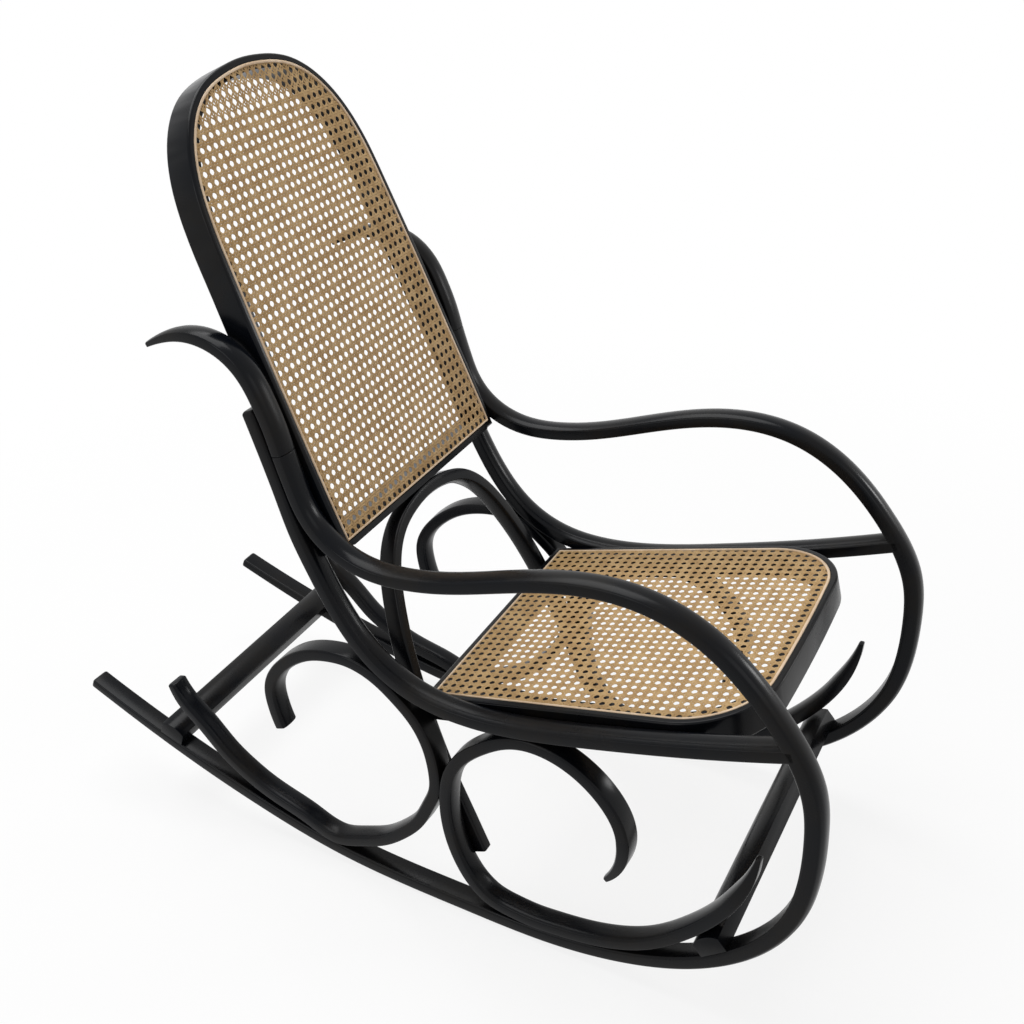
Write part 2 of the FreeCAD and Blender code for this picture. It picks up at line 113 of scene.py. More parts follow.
def settle(piece: bpy.types.Object, placement: Matrix) -> None:
    """Move a piece's mesh to its place, leaving the object unturned at the origin.

    Args:
        piece: The mesh object, drawn in millimetres.
        placement: The matrix from the drawn frame to the floor frame.
    """
    choose(piece)
    piece.matrix_world = placement
    bpy.ops.object.transform_apply(location=True, rotation=True, scale=True)
    bpy.ops.object.mode_set(mode="EDIT")
    bpy.ops.mesh.select_all(action="SELECT")
    bpy.ops.mesh.remove_doubles(threshold=MERGE_METRES)
    bpy.ops.mesh.normals_make_consistent(inside=False)
    bpy.ops.object.mode_set(mode="OBJECT")


def smooth(piece: bpy.types.Object, degrees: float) -> None:
    """Shade a piece smooth, but for edges that turn more than an angle."""
    choose(piece)
    bpy.ops.object.shade_smooth_by_angle(angle=math.radians(degrees))


def ease_edges(piece: bpy.types.Object, width: float, segments: int, degrees: float) -> None:
    """Round a piece's sharp edges with an applied bevel.

    Args:
        piece: The mesh object.
        width: The bevel's width, in the piece's own units.
        segments: The bevel's segments.
        degrees: The least turn of an edge that is rounded.
    """
    choose(piece)
    bevel = piece.modifiers.new("eased", "BEVEL")
    bevel.width = width
    bevel.segments = segments
    bevel.limit_method = "ANGLE"
    bevel.angle_limit = math.radians(degrees)
    bevel.use_clamp_overlap = True
    bpy.ops.object.modifier_apply(modifier=bevel.name)


def poly_profile(name: str, points: Points) -> bpy.types.Object:
    """Make a closed flat curve that a piece is swept with."""
    deselect()
    bpy.ops.curve.primitive_bezier_circle_add()
    profile = bpy.context.active_object
    profile.name = name
    curve = profile.data
    curve.dimensions = "2D"
    curve.fill_mode = "NONE"
    curve.splines.clear()
    spline = curve.splines.new("POLY")
    spline.points.add(len(points) - 1)
    for place, (across, along) in zip(spline.points, points):
        place.co = (across, along, 0.0, 1.0)
    spline.use_cyclic_u = True
    return profile


def swept_path(profile: bpy.types.Object, dimensions: str) -> bpy.types.Object:
    """Make a curve object without splines, which sweeps a profile.

    Args:
        profile: The closed curve that is swept.
        dimensions: "2D" for a curve that stays flat, or "3D".

    Returns:
        The curve object.
    """
    bpy.ops.curve.primitive_bezier_curve_add()
    path = bpy.context.active_object
    curve = path.data
    curve.dimensions = dimensions
    curve.bevel_mode = "OBJECT"
    curve.bevel_object = profile
    curve.splines.clear()
    return path


def arc_points(centre: tuple[float, float], radius: float, low: float, high: float,
               count: int) -> Points:
    """Return points along an arc, both ends included, with its angles in degrees."""
    found = []
    for index in range(count + 1):
        angle = math.radians(low + (high - low) * index / count)
        found.append((centre[0] + radius * math.cos(angle), centre[1] + radius * math.sin(angle)))
    return found


# Node groups and finishes

GRAIN_METRES = 0.0004
FIRST_COLOUR = 6
SECOND_COLOUR = 7
MIXED_COLOUR = 2


def group_socket(group: bpy.types.NodeTree, name: str, kind: str, output: bool,
                 value: float | None = None) -> None:
    """Add a named socket to a node group."""
    socket = group.interface.new_socket(
        name=name, in_out="OUTPUT" if output else "INPUT", socket_type=f"NodeSocket{kind}")
    if value is not None:
        socket.default_value = value


def link(tree: bpy.types.NodeTree, source: bpy.types.NodeSocket,
         target: bpy.types.NodeSocket) -> None:
    """Join two sockets of a node tree."""
    tree.links.new(source, target)


def build_mottle_group() -> bpy.types.NodeTree:
    """Build the group for slow changes over a surface, such as tone, sheen and rubbing.

    Returns:
        A group that takes Scale, Low and High, and puts out Mask.
    """
    group = bpy.data.node_groups.new("mottle", "ShaderNodeTree")
    group_socket(group, "Scale", "Float", False, 8.0)
    group_socket(group, "Low", "Float", False, 0.35)
    group_socket(group, "High", "Float", False, 0.65)
    group_socket(group, "Mask", "Float", True)
    entry = group.nodes.new("NodeGroupInput")
    leave = group.nodes.new("NodeGroupOutput")
    place = group.nodes.new("ShaderNodeTexCoord")
    noise = group.nodes.new("ShaderNodeTexNoise")
    noise.inputs["Detail"].default_value = 3.0
    ramp = group.nodes.new("ShaderNodeMapRange")
    ramp.interpolation_type = "SMOOTHSTEP"
    link(group, place.outputs["Object"], noise.inputs["Vector"])
    link(group, entry.outputs["Scale"], noise.inputs["Scale"])
    link(group, noise.outputs["Fac"], ramp.inputs["Value"])
    link(group, entry.outputs["Low"], ramp.inputs["From Min"])
    link(group, entry.outputs["High"], ramp.inputs["From Max"])
    link(group, ramp.outputs["Result"], leave.inputs["Mask"])
    return group


def build_fibre_group() -> bpy.types.NodeTree:
    """Build the group for fine lines along a piece, such as grain and fibre.

    Returns:
        A group that takes Fineness and Stretch, and puts out Fibre.
    """
    group = bpy.data.node_groups.new("fibre", "ShaderNodeTree")
    group_socket(group, "Fineness", "Float", False, 900.0)
    group_socket(group, "Stretch", "Vector", False)
    group_socket(group, "Fibre", "Float", True)
    entry = group.nodes.new("NodeGroupInput")
    leave = group.nodes.new("NodeGroupOutput")
    place = group.nodes.new("ShaderNodeTexCoord")
    draw_out = group.nodes.new("ShaderNodeVectorMath")
    draw_out.operation = "MULTIPLY"
    noise = group.nodes.new("ShaderNodeTexNoise")
    noise.inputs["Detail"].default_value = 2.0
    link(group, place.outputs["Object"], draw_out.inputs[0])
    link(group, entry.outputs["Stretch"], draw_out.inputs[1])
    link(group, draw_out.outputs["Vector"], noise.inputs["Vector"])
    link(group, entry.outputs["Fineness"], noise.inputs["Scale"])
    link(group, noise.outputs["Fac"], leave.inputs["Fibre"])
    return group


@dataclass(frozen=True)
class Finish:
    """A finish of the chair: two tones, sheen, mottling and a fine grain in relief."""

    name: str
    tone: tuple[float, float, float]
    second_tone: tuple[float, float, float]
    low_roughness: float
    high_roughness: float
    mottle_scale: float
    fineness: float
    stretch: tuple[float, float, float]
    relief: float
    specular: float = 0.5

    def material(self, groups: dict[str, bpy.types.NodeTree]) -> bpy.types.Material:
        """Build the finish as a material.

        Args:
            groups: The shared node groups, by name.

        Returns:
            The material.
        """
        made = bpy.data.materials.new(self.name)
        made.use_nodes = True
        tree = made.node_tree
        shader = tree.nodes["Principled BSDF"]
        shader.inputs["Specular IOR Level"].default_value = self.specular
        mottle = tree.nodes.new("ShaderNodeGroup")
        mottle.node_tree = groups["mottle"]
        mottle.inputs["Scale"].default_value = self.mottle_scale
        fibre = tree.nodes.new("ShaderNodeGroup")
        fibre.node_tree = groups["fibre"]
        fibre.inputs["Fineness"].default_value = self.fineness
        fibre.inputs["Stretch"].default_value = self.stretch
        tones = tree.nodes.new("ShaderNodeMix")
        tones.data_type = "RGBA"
        tones.inputs[FIRST_COLOUR].default_value = (*self.tone, 1.0)
        tones.inputs[SECOND_COLOUR].default_value = (*self.second_tone, 1.0)
        blend = tree.nodes.new("ShaderNodeMath")
        blend.operation = "MULTIPLY"
        link(tree, mottle.outputs["Mask"], blend.inputs[0])
        link(tree, fibre.outputs["Fibre"], blend.inputs[1])
        link(tree, blend.outputs["Value"], tones.inputs["Factor"])
        link(tree, tones.outputs[MIXED_COLOUR], shader.inputs["Base Color"])
        sheen = tree.nodes.new("ShaderNodeMapRange")
        sheen.inputs["To Min"].default_value = self.low_roughness
        sheen.inputs["To Max"].default_value = self.high_roughness
        link(tree, mottle.outputs["Mask"], sheen.inputs["Value"])
        link(tree, sheen.outputs["Result"], shader.inputs["Roughness"])
        bump = tree.nodes.new("ShaderNodeBump")
        bump.inputs["Strength"].default_value = self.relief
        bump.inputs["Distance"].default_value = GRAIN_METRES
        link(tree, fibre.outputs["Fibre"], bump.inputs["Height"])
        link(tree, bump.outputs["Normal"], shader.inputs["Normal"])
        return made


BLACK_LACQUER = Finish(
    "black_lacquer", tone=(0.0026, 0.0034, 0.0052), second_tone=(0.0080, 0.0062, 0.0042),
    low_roughness=0.20, high_roughness=0.32, mottle_scale=9.0, fineness=260.0,
    stretch=(1.0, 0.25, 0.25), relief=0.05, specular=0.12)
NATURAL_CANE = Finish(
    "natural_cane", tone=(0.485, 0.315, 0.136), second_tone=(0.27, 0.150, 0.052),
    low_roughness=0.38, high_roughness=0.55, mottle_scale=60.0, fineness=500.0,
    stretch=(1.0, 1.0, 1.0), relief=0.25, specular=0.35)
PALE_REED = Finish(
    "pale_reed", tone=(0.72, 0.55, 0.38), second_tone=(0.52, 0.35, 0.20),
    low_roughness=0.32, high_roughness=0.5, mottle_scale=30.0, fineness=400.0,
    stretch=(1.0, 1.0, 1.0), relief=0.2)


class Paints:
    """The three finishes of the chair, each built once."""

    def __init__(self) -> None:
        """Build the shared groups and the materials."""
        groups = {"mottle": build_mottle_group(), "fibre": build_fibre_group()}
        self.by_slot = {
            Slot.WOOD: BLACK_LACQUER.material(groups),
            Slot.CANE: NATURAL_CANE.material(groups),
            Slot.REED: PALE_REED.material(groups),
        }

    def dress(self, piece: bpy.types.Object, slot: Slot, node: str | None = None) -> None:
        """Give a finished piece its finish and its slot, hide the node that it replaces and attach
        it to the body.

        Args:
            piece: The piece, in its place.
            slot: The record's slot that it takes its finish from.
            node: The CAD node that it replaces, if it replaces one.
        """
        piece.data.materials.clear()
        piece.data.materials.append(self.by_slot[slot])
        if node is not None:
            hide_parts(node)
        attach(piece, BODY)
        log.info("%s: %d faces", piece.name, len(piece.data.polygons))


# Smooth routes of bent pieces

SAMPLES_PER_SPAN = 24
CORNER_STEPS = 4
LIP_DEGREES = 15
CROWN_SHARES = (-0.72, -0.36, 0.0, 0.36, 0.72)


class Route:
    """A smooth line through drawn points, as a steamed strip takes round its form."""

    def __init__(self, points: Points) -> None:
        """Work out the direction of the line at each point.

        Args:
            points: The drawn points, in order of travel.
        """
        self.points = np.array(points, float)
        self.steps = np.linalg.norm(np.diff(self.points, axis=0), axis=1)
        self.slopes = self._slopes()

    def _slopes(self) -> np.ndarray:
        """Return the line's rate of travel at each point, smooth from span to span."""
        count = len(self.points)
        steps = self.steps
        rates = np.diff(self.points, axis=0) / steps[:, None]
        matrix = np.zeros((count, count))
        known = np.zeros((count, 2))
        matrix[0, 0] = matrix[-1, -1] = 1.0
        known[0] = rates[0] - steps[0] * (rates[1] - rates[0]) / (steps[0] + steps[1])
        known[-1] = rates[-1] + steps[-1] * (rates[-1] - rates[-2]) / (steps[-1] + steps[-2])
        for index in range(1, count - 1):
            before, after = 1 / steps[index - 1], 1 / steps[index]
            matrix[index, index - 1] = before
            matrix[index, index] = 2 * (before + after)
            matrix[index, index + 1] = after
            known[index] = 3 * (rates[index - 1] * before + rates[index] * after)
        return np.linalg.solve(matrix, known)

    def at(self, spot: float) -> tuple[np.ndarray, np.ndarray]:
        """Return a place on the line and its slope there.

        Args:
            spot: Where it lies, counted in spans from the first drawn point.

        Returns:
            The place, and the rate of travel at it.
        """
        index = min(int(spot), len(self.steps) - 1)
        step, part = self.steps[index], spot - index
        low, high = self.points[index], self.points[index + 1]
        leave, arrive = self.slopes[index] * step, self.slopes[index + 1] * step
        two, three = part ** 2, part ** 3
        place = ((2 * three - 3 * two + 1) * low + (three - 2 * two + part) * leave
                 + (3 * two - 2 * three) * high + (three - two) * arrive)
        travel = ((6 * two - 6 * part) * (low - high)
                  + (3 * two - 4 * part + 1) * leave + (3 * two - 2 * part) * arrive)
        return place, travel / step

    def sampled(self) -> tuple[np.ndarray, np.ndarray]:
        """Return close points of the line and the rate of travel at each."""
        spots = np.arange(len(self.steps) * SAMPLES_PER_SPAN + 1) / SAMPLES_PER_SPAN
        found = [self.at(spot) for spot in spots]
        return np.array([place for place, _ in found]), np.array([slope for _, slope in found])

    def distances(self) -> np.ndarray:
        """Return how far along the line each drawn point lies."""
        places, _ = self.sampled()
        runs = np.concatenate([[0.0], np.cumsum(np.linalg.norm(np.diff(places, axis=0), axis=1))])
        return runs[::SAMPLES_PER_SPAN]

    def beside(self, point: tuple[float, float], gap: float) -> tuple[float, float]:
        """Return the place at a gap to the left of the line, nearest to a drawn point."""
        places, travels = self.sampled()
        nearest = int(np.argmin(np.linalg.norm(places - np.array(point), axis=1)))
        forward = travels[nearest] / np.linalg.norm(travels[nearest])
        return tuple(places[nearest] + gap * np.array([-forward[1], forward[0]]))


@dataclass(frozen=True)
class StripEnd:
    """How one end of a strip is cut: what is left of its section there, and its rounding."""

    thick: float = 1.0
    width: float = 1.0
    taper: float = 0.0
    round_off: float = 1.2
    fullness: float = 1.7

    def shares(self, away: np.ndarray) -> tuple[np.ndarray, np.ndarray]:
        """Return the shares of thickness and width left at distances from the end."""
        if not self.taper:
            return np.ones(len(away)), np.ones(len(away))
        full = 1 - (1 - np.clip(away / self.taper, 0, 1)) ** self.fullness
        return self.thick + (1 - self.thick) * full, self.width + (1 - self.width) * full

    def inset(self, away: np.ndarray) -> np.ndarray:
        """Return how far the rounding draws the surface in, at distances from the end."""
        short = np.clip(self.round_off - away, 0, self.round_off)
        return self.round_off - np.sqrt(self.round_off ** 2 - short ** 2)


@dataclass
class BentStrip:
    """One steam-bent strip: a flat inner edge, rounded corners and a crowned outer edge."""

    route: Route
    thick: float
    width: float
    crown: float
    first: int = 0
    last: int | None = None
    sizes: Callable[[np.ndarray], np.ndarray] | None = None
    ends: tuple[StripEnd, StripEnd] = (StripEnd(), StripEnd())
    corner: float = 3.2
    fine: int = 14

    def section(self) -> Points:
        """Return the strip's cross-section, with its thickness along the first number."""
        half, turn, lip = self.width / 2, self.corner, LIP_DEGREES
        points = arc_points((turn, turn - half), turn, 180, 270, CORNER_STEPS)
        points += arc_points((self.thick - turn, turn - half), turn, 270, 360 - lip, CORNER_STEPS)
        rise = self.thick - turn + turn * math.cos(math.radians(lip))
        reach = half - turn + turn * math.sin(math.radians(90 - lip))
        for share in CROWN_SHARES:
            points.append((rise + self.crown * (1 - share * share), share * reach))
        points += arc_points((self.thick - turn, half - turn), turn, lip, 90, CORNER_STEPS)
        points += arc_points((turn, half - turn), turn, 90, 180, CORNER_STEPS)
        return points

    def build(self, name: str, placement: Matrix) -> bpy.types.Object:
        """Sweep the section along the route and put the strip in its place.

        Args:
            name: The finished piece's name.
            placement: The matrix from the flat drawing to the floor frame.

        Returns:
            The strip as a mesh object.
        """
        path = swept_path(poly_profile(f"{name}_section", self.section()), "2D")
        path.data.fill_mode = "NONE"
        path.data.resolution_u = self.fine
        spline = path.data.splines.new("BEZIER")
        spots = self._spots()
        spline.bezier_points.add(len(spots) - 1)
        for index, (knot, spot) in enumerate(zip(spline.bezier_points, spots)):
            place, slope = self.route.at(spot)
            knot.handle_left_type = knot.handle_right_type = "FREE"
            knot.co = (*place, 0.0)
            knot.handle_left = (*(place - slope * self._reach(spots, index - 1) / 3), 0.0)
            knot.handle_right = (*(place + slope * self._reach(spots, index) / 3), 0.0)
        piece = as_mesh(path, name)
        self._shape(piece)
        bpy.ops.object.mode_set(mode="EDIT")
        bpy.ops.mesh.select_all(action="SELECT")
        bpy.ops.mesh.fill_holes(sides=0)
        settle(piece, placement @ DRAWING)
        smooth(piece, degrees=40)
        return piece

    def _spots(self) -> list[float]:
        """Return where the sweep has its knots: the drawn points, and one just inside each end."""
        last = len(self.route.points) - 1 if self.last is None else self.last
        inner = [self.first + self.ends[0].round_off / self.route.steps[self.first],
                 last - self.ends[1].round_off / self.route.steps[last - 1]]
        return sorted([*range(self.first, last + 1), *inner])

    def _reach(self, spots: list[float], index: int) -> float:
        """Return the drawn length from one knot to the next, nothing past the ends."""
        if not 0 <= index < len(spots) - 1:
            return 0.0
        return (spots[index + 1] - spots[index]) * self.route.steps[int(spots[index])]

    def _shape(self, piece: bpy.types.Object) -> None:
        """Give the swept strip its thickness along the way, its drawn-in tips and rounded ends.

        Args:
            piece: The strip as swept, with one ring of vertices after another.
        """
        flat = np.zeros(len(piece.data.vertices) * 3)
        piece.data.vertices.foreach_get("co", flat)
        rings = flat.reshape(-1, len(self.section()), 3)
        edge = rings[:, :1, :2].copy()
        runs = np.linalg.norm(np.diff(edge[:, 0], axis=0), axis=1)
        along = np.concatenate([[0.0], np.cumsum(runs)])
        thick = np.ones(len(rings))
        if self.sizes is not None:
            thick = self.sizes(along + self.route.distances()[self.first])
        width, inset = np.ones(len(rings)), np.zeros(len(rings))
        for end, away in zip(self.ends, (along, along[-1] - along)):
            thick_share, width_share = end.shares(away)
            thick, width = thick * thick_share, width * width_share
            inset = np.maximum(inset, end.inset(away))
        deep = (self.thick + self.crown) * thick
        out = rings[:, :, :2] - edge
        middle = out[:, out.shape[1] // 2]
        unit = (middle / np.linalg.norm(middle, axis=1)[:, None])[:, None]
        rings[:, :, :2] = (edge + out * (thick * (1 - 2 * inset / deep))[:, None, None]
                           + unit * inset[:, None, None])
        rings[:, :, 2] *= (width - 2 * inset / self.width)[:, None]
        piece.data.vertices.foreach_set("co", rings.ravel())
        piece.data.update()


# How the drawings lie on the chair

TILT = math.radians(13.3568)
STAND = (0.0, 35.6786, 316.6056)
SPLAY_SLOPE = 0.035
SIDE_WIDTH = 30.0
INNER_HALF_WIDTH = 198.0
BACK_LEAN = math.radians(9.05)
BACK_FOOT = (0.0, -27.0, 216.0)
BITE = 0.15

DRAWING = Matrix(((0, 0, 1, 0), (1, 0, 0, 0), (0, 1, 0, 0), (0, 0, 0, 1)))
SEAT_FRAME = (
    Matrix.Scale(MILLIMETRE, 4) @ Matrix.Translation(STAND) @ Matrix.Rotation(-TILT, 4, "X"))
BACK_FRAME = (
    SEAT_FRAME @ Matrix.Translation(BACK_FOOT) @ Matrix.Rotation(-BACK_LEAN, 4, "X")
    @ Matrix.Rotation(math.pi / 2, 4, "Z"))
FACING_FRONT = Matrix(((0, 0, -1, 0), (-1, 0, 0, 0), (0, 1, 0, 0), (0, 0, 0, 1)))


def side_frame(side: Side) -> Matrix:
    """Return the placement of a flat side drawing on one side of the chair."""
    right = (Matrix.Translation((-INNER_HALF_WIDTH - SIDE_WIDTH / 2, 0, 0))
             @ Matrix.Rotation(-math.atan(SPLAY_SLOPE), 4, "Z"))
    if side is Side.LEFT:
        return SEAT_FRAME @ Matrix.Diagonal((-1, 1, 1, 1)) @ right
    return SEAT_FRAME @ right


def steps(*stops: tuple[float, float]) -> Callable[[np.ndarray], np.ndarray]:
    """Return a size along a strip that passes smoothly from each stop to the next."""
    def size(distances: np.ndarray) -> np.ndarray:
        """Return the size at each distance."""
        spots = np.interp(distances, [stop[0] for stop in stops], np.arange(len(stops)))
        part = spots % 1
        return np.interp(spots - part + part ** 2 * (3 - 2 * part),
                         np.arange(len(stops)), [stop[1] for stop in stops])
    return size


@dataclass
class SideFrame:
    """One side of the chair: horn, arm and rocker, post and rail, and the two scrolls."""

    side: Side
    arm_thick: float = 16.5
    rocker_thick: float = 19.5
    tail_thick: float = 15.0
    post_thick: float = 20.5
    rail_thick: float = 17.5
    scroll_thick: float = 17.0
    crown: float = 3.5
    scroll_crown: float = 2.5
    main_points: Points = field(default_factory=lambda: [
        (168, 497), (142, 501), (110, 502), (75, 494), (45, 474), (28, 447), (20, 414),
        (16, 382), (15, 350), (13, 310), (8, 270), (-10, 230), (-62, 188), (-120, 173),
        (-180, 170), (-300, 178), (-400, 170), (-450, 150), (-490, 119), (-545, 35),
        (-567, -30), (-571, -64), (-565, -117), (-550, -175), (-528, -225), (-482, -279),
        (-430, -313), (-370, -335), (-300, -346), (-187, -342), (-66, -317), (131, -262),
        (297, -180), (431, -97), (540, -18)])

    def __post_init__(self) -> None:
        """Draw the routes of the strips, each seated on the one that it lies against."""
        self.main = Route(self.main_points)
        self.seam = self.main_points.index((15, 350))
        back_face = self.post_thick - BITE
        self.rail = Route(
            [self.main.beside(p, back_face) for p in [(20, 412), (15, 350), (12, 300)]]
            + [(30, 245), (22, 195), (4, 122), (-30, 54), (-80, 9), (-150, -18), (-240, -29),
               (-330, -29), (-440, -25), self.main.beside((-563, -17), -self.arm_thick / 2)])
        self.front = Route(
            [(-294, -241), (-318, -222), (-340, -188), (-346, -148), (-334, -105),
             (-307, -66), (-268, -38),
             self.rail.beside((-222, -28), -BITE), (-165, -43), (-117, -73), (-91, -106),
             (-77, -140), (-68, -180), (-66, -221), (-71, -258), (-84, -292), (-104, -315),
             (-133, -329)]
            + [self.main.beside(p, -BITE) for p in
               [(-165, -338), (-190, -342), (-215, -344), (-240, -346)]]
            + [(-285, -345), (-333, -334), (-392, -303), (-450, -257), (-495, -196),
               (-507, -163)])
        self.rear = Route(
            [(370, -10), (364, -44), (340, -84), (314, -130), (289, -160), (259, -187),
             (220, -212), (192, -229)]
            + [self.main.beside(p, -BITE) for p in [(165, -246), (135, -260)]]
            + [(95, -256), (50, -246), (8, -226), (-34, -195), (-60, -164),
               self.front.beside((-77, -140), -BITE), (-89, -100), (-91, -61), (-82, -20),
               (-62, 15), self.rail.beside((-42, 42), -BITE), (0, 68), (36, 75), (80, 72),
               (119, 57), (148, 37), (170, 8), (178, -30), (177, -64)])

    def _strips(self) -> dict[str, BentStrip]:
        """Return the strips of this side by the name of the node that each stands for."""
        along = self.main.distances()
        changes = [(-545, 35), (-571, -64), (297, -180)]
        arm_end, rocker_start, tail_start = (
            along[self.main_points.index(point)] for point in changes)
        tail = self.tail_thick
        rocker = steps(
            (0.0, self.arm_thick / tail), (arm_end, self.arm_thick / tail),
            (rocker_start, self.rocker_thick / tail),
            (tail_start, self.rocker_thick / tail), (along[-1], 1.0))
        post_share = self.post_thick / (self.rail_thick + self.crown)
        rail_marks = self.rail.distances()
        bend_start, bend_end = rail_marks[4], rail_marks[7]
        post = steps((0.0, post_share), (bend_start, post_share), (bend_end, 1.0))
        seam = StripEnd(round_off=1.4)
        tip = StripEnd(thick=0.34, width=0.36, taper=90.0, round_off=2.4)
        horn_tip = StripEnd(thick=0.34, width=0.36, taper=125.0, round_off=2.4)
        scroll_tail = StripEnd(thick=0.72, width=0.96, taper=60.0, round_off=3.6)
        crown_share = self.crown / self.rocker_thick
        return {
            "horn": BentStrip(
                self.main, self.arm_thick, SIDE_WIDTH, crown_share * self.arm_thick,
                last=self.seam, ends=(horn_tip, seam)),
            "rocker_arm": BentStrip(
                self.main, tail, SIDE_WIDTH, crown_share * tail,
                first=self.seam, sizes=rocker, ends=(seam, StripEnd(round_off=4.5))),
            "post_rail": BentStrip(
                self.rail, self.rail_thick, SIDE_WIDTH, self.crown, sizes=post,
                ends=(StripEnd(round_off=5.0), StripEnd(round_off=0.8))),
            "front_scroll": BentStrip(
                self.front, self.scroll_thick, SIDE_WIDTH, self.scroll_crown, ends=(tip, tip)),
            "rear_scroll": BentStrip(
                self.rear, self.scroll_thick, SIDE_WIDTH, self.scroll_crown,
                ends=(scroll_tail, StripEnd(round_off=2.2))),
        }

    def build(self, paints: Paints) -> None:
        """Make this side's strips, each in the place of its node."""
        ending = self.side.name.lower()
        for name, strip in self._strips().items():
            piece = strip.build(f"bent_{name}_{ending}", side_frame(self.side))
            paints.dress(piece, Slot.WOOD, f"{name}_{ending}")


@dataclass
class BackBrace:
    """The arched brace under the back, with its legs inside the side frames."""

    thick: float = 17.0
    depth: float = 26.0
    crown: float = 2.5
    gap: float = 0.6
    arch: Points = field(default_factory=lambda: [
        (0, 0), (45, -5), (80, -16), (108, -34), (126, -53), (142, -78), (157, -111),
        (171, -151), (183, -199), (193, -261)])
    leg: tuple[float, ...] = (335.0, 400.0, 463.0)
    foot: float = -9.0

    def build(self, paints: Paints) -> None:
        """Make the brace in the place of its node."""
        half = [(across, self.foot - self.gap + rise) for across, rise in self.arch]
        for drop in self.leg:
            level = self.foot - drop
            rear = BACK_FOOT[1] + self.depth + level * math.sin(BACK_LEAN)
            half.append((INNER_HALF_WIDTH - SPLAY_SLOPE * rear - self.gap, level))
        whole = [(-across, level) for across, level in half[:0:-1]] + half
        strip = BentStrip(Route(whole), self.thick, self.depth, self.crown)
        piece = strip.build("bent_brace", BACK_FRAME @ Matrix.Translation((self.depth / 2, 0, 0)))
        paints.dress(piece, Slot.WOOD, "back_brace")


@dataclass
class FramedPiece:
    """A piece of the seat or back frame that keeps its node's shape, shaded smooth."""

    node: str
    ease: float = 0.0
    flat_degrees: float = 0.2

    def build(self, paints: Paints) -> None:
        """Copy the node, join its loose faces and, given an ease, round what is still sharp."""
        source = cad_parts[self.node]
        deselect()
        piece = bpy.data.objects.new(f"smooth_{self.node}", source.data.copy())
        bpy.context.scene.collection.objects.link(piece)
        choose(piece)
        bpy.ops.object.mode_set(mode="EDIT")
        bpy.ops.mesh.select_all(action="SELECT")
        bpy.ops.mesh.remove_doubles(threshold=NODE_MERGE_METRES)
        bpy.ops.mesh.dissolve_limited(angle_limit=math.radians(self.flat_degrees))
        bpy.ops.object.mode_set(mode="OBJECT")
        if self.ease:
            ease_edges(piece, self.ease, segments=3, degrees=50)
        smooth(piece, degrees=30)
        paints.dress(piece, Slot.WOOD, self.node)


# Woven cane and the reed round it

SHORTEST_STRAND = 4.0
SHORTEST_SIDE = 0.05
KNOT_MARGIN = 0.5
FAR = 1e4
ALONGSIDE = 1e-9
STRAND_SHAPE = ((-1.0, -0.3), (-0.4, -1.0), (0.4, -1.0), (1.0, -0.3),
                (0.84, 0.6), (0.4, 1.0), (-0.4, 1.0), (-0.84, 0.6))


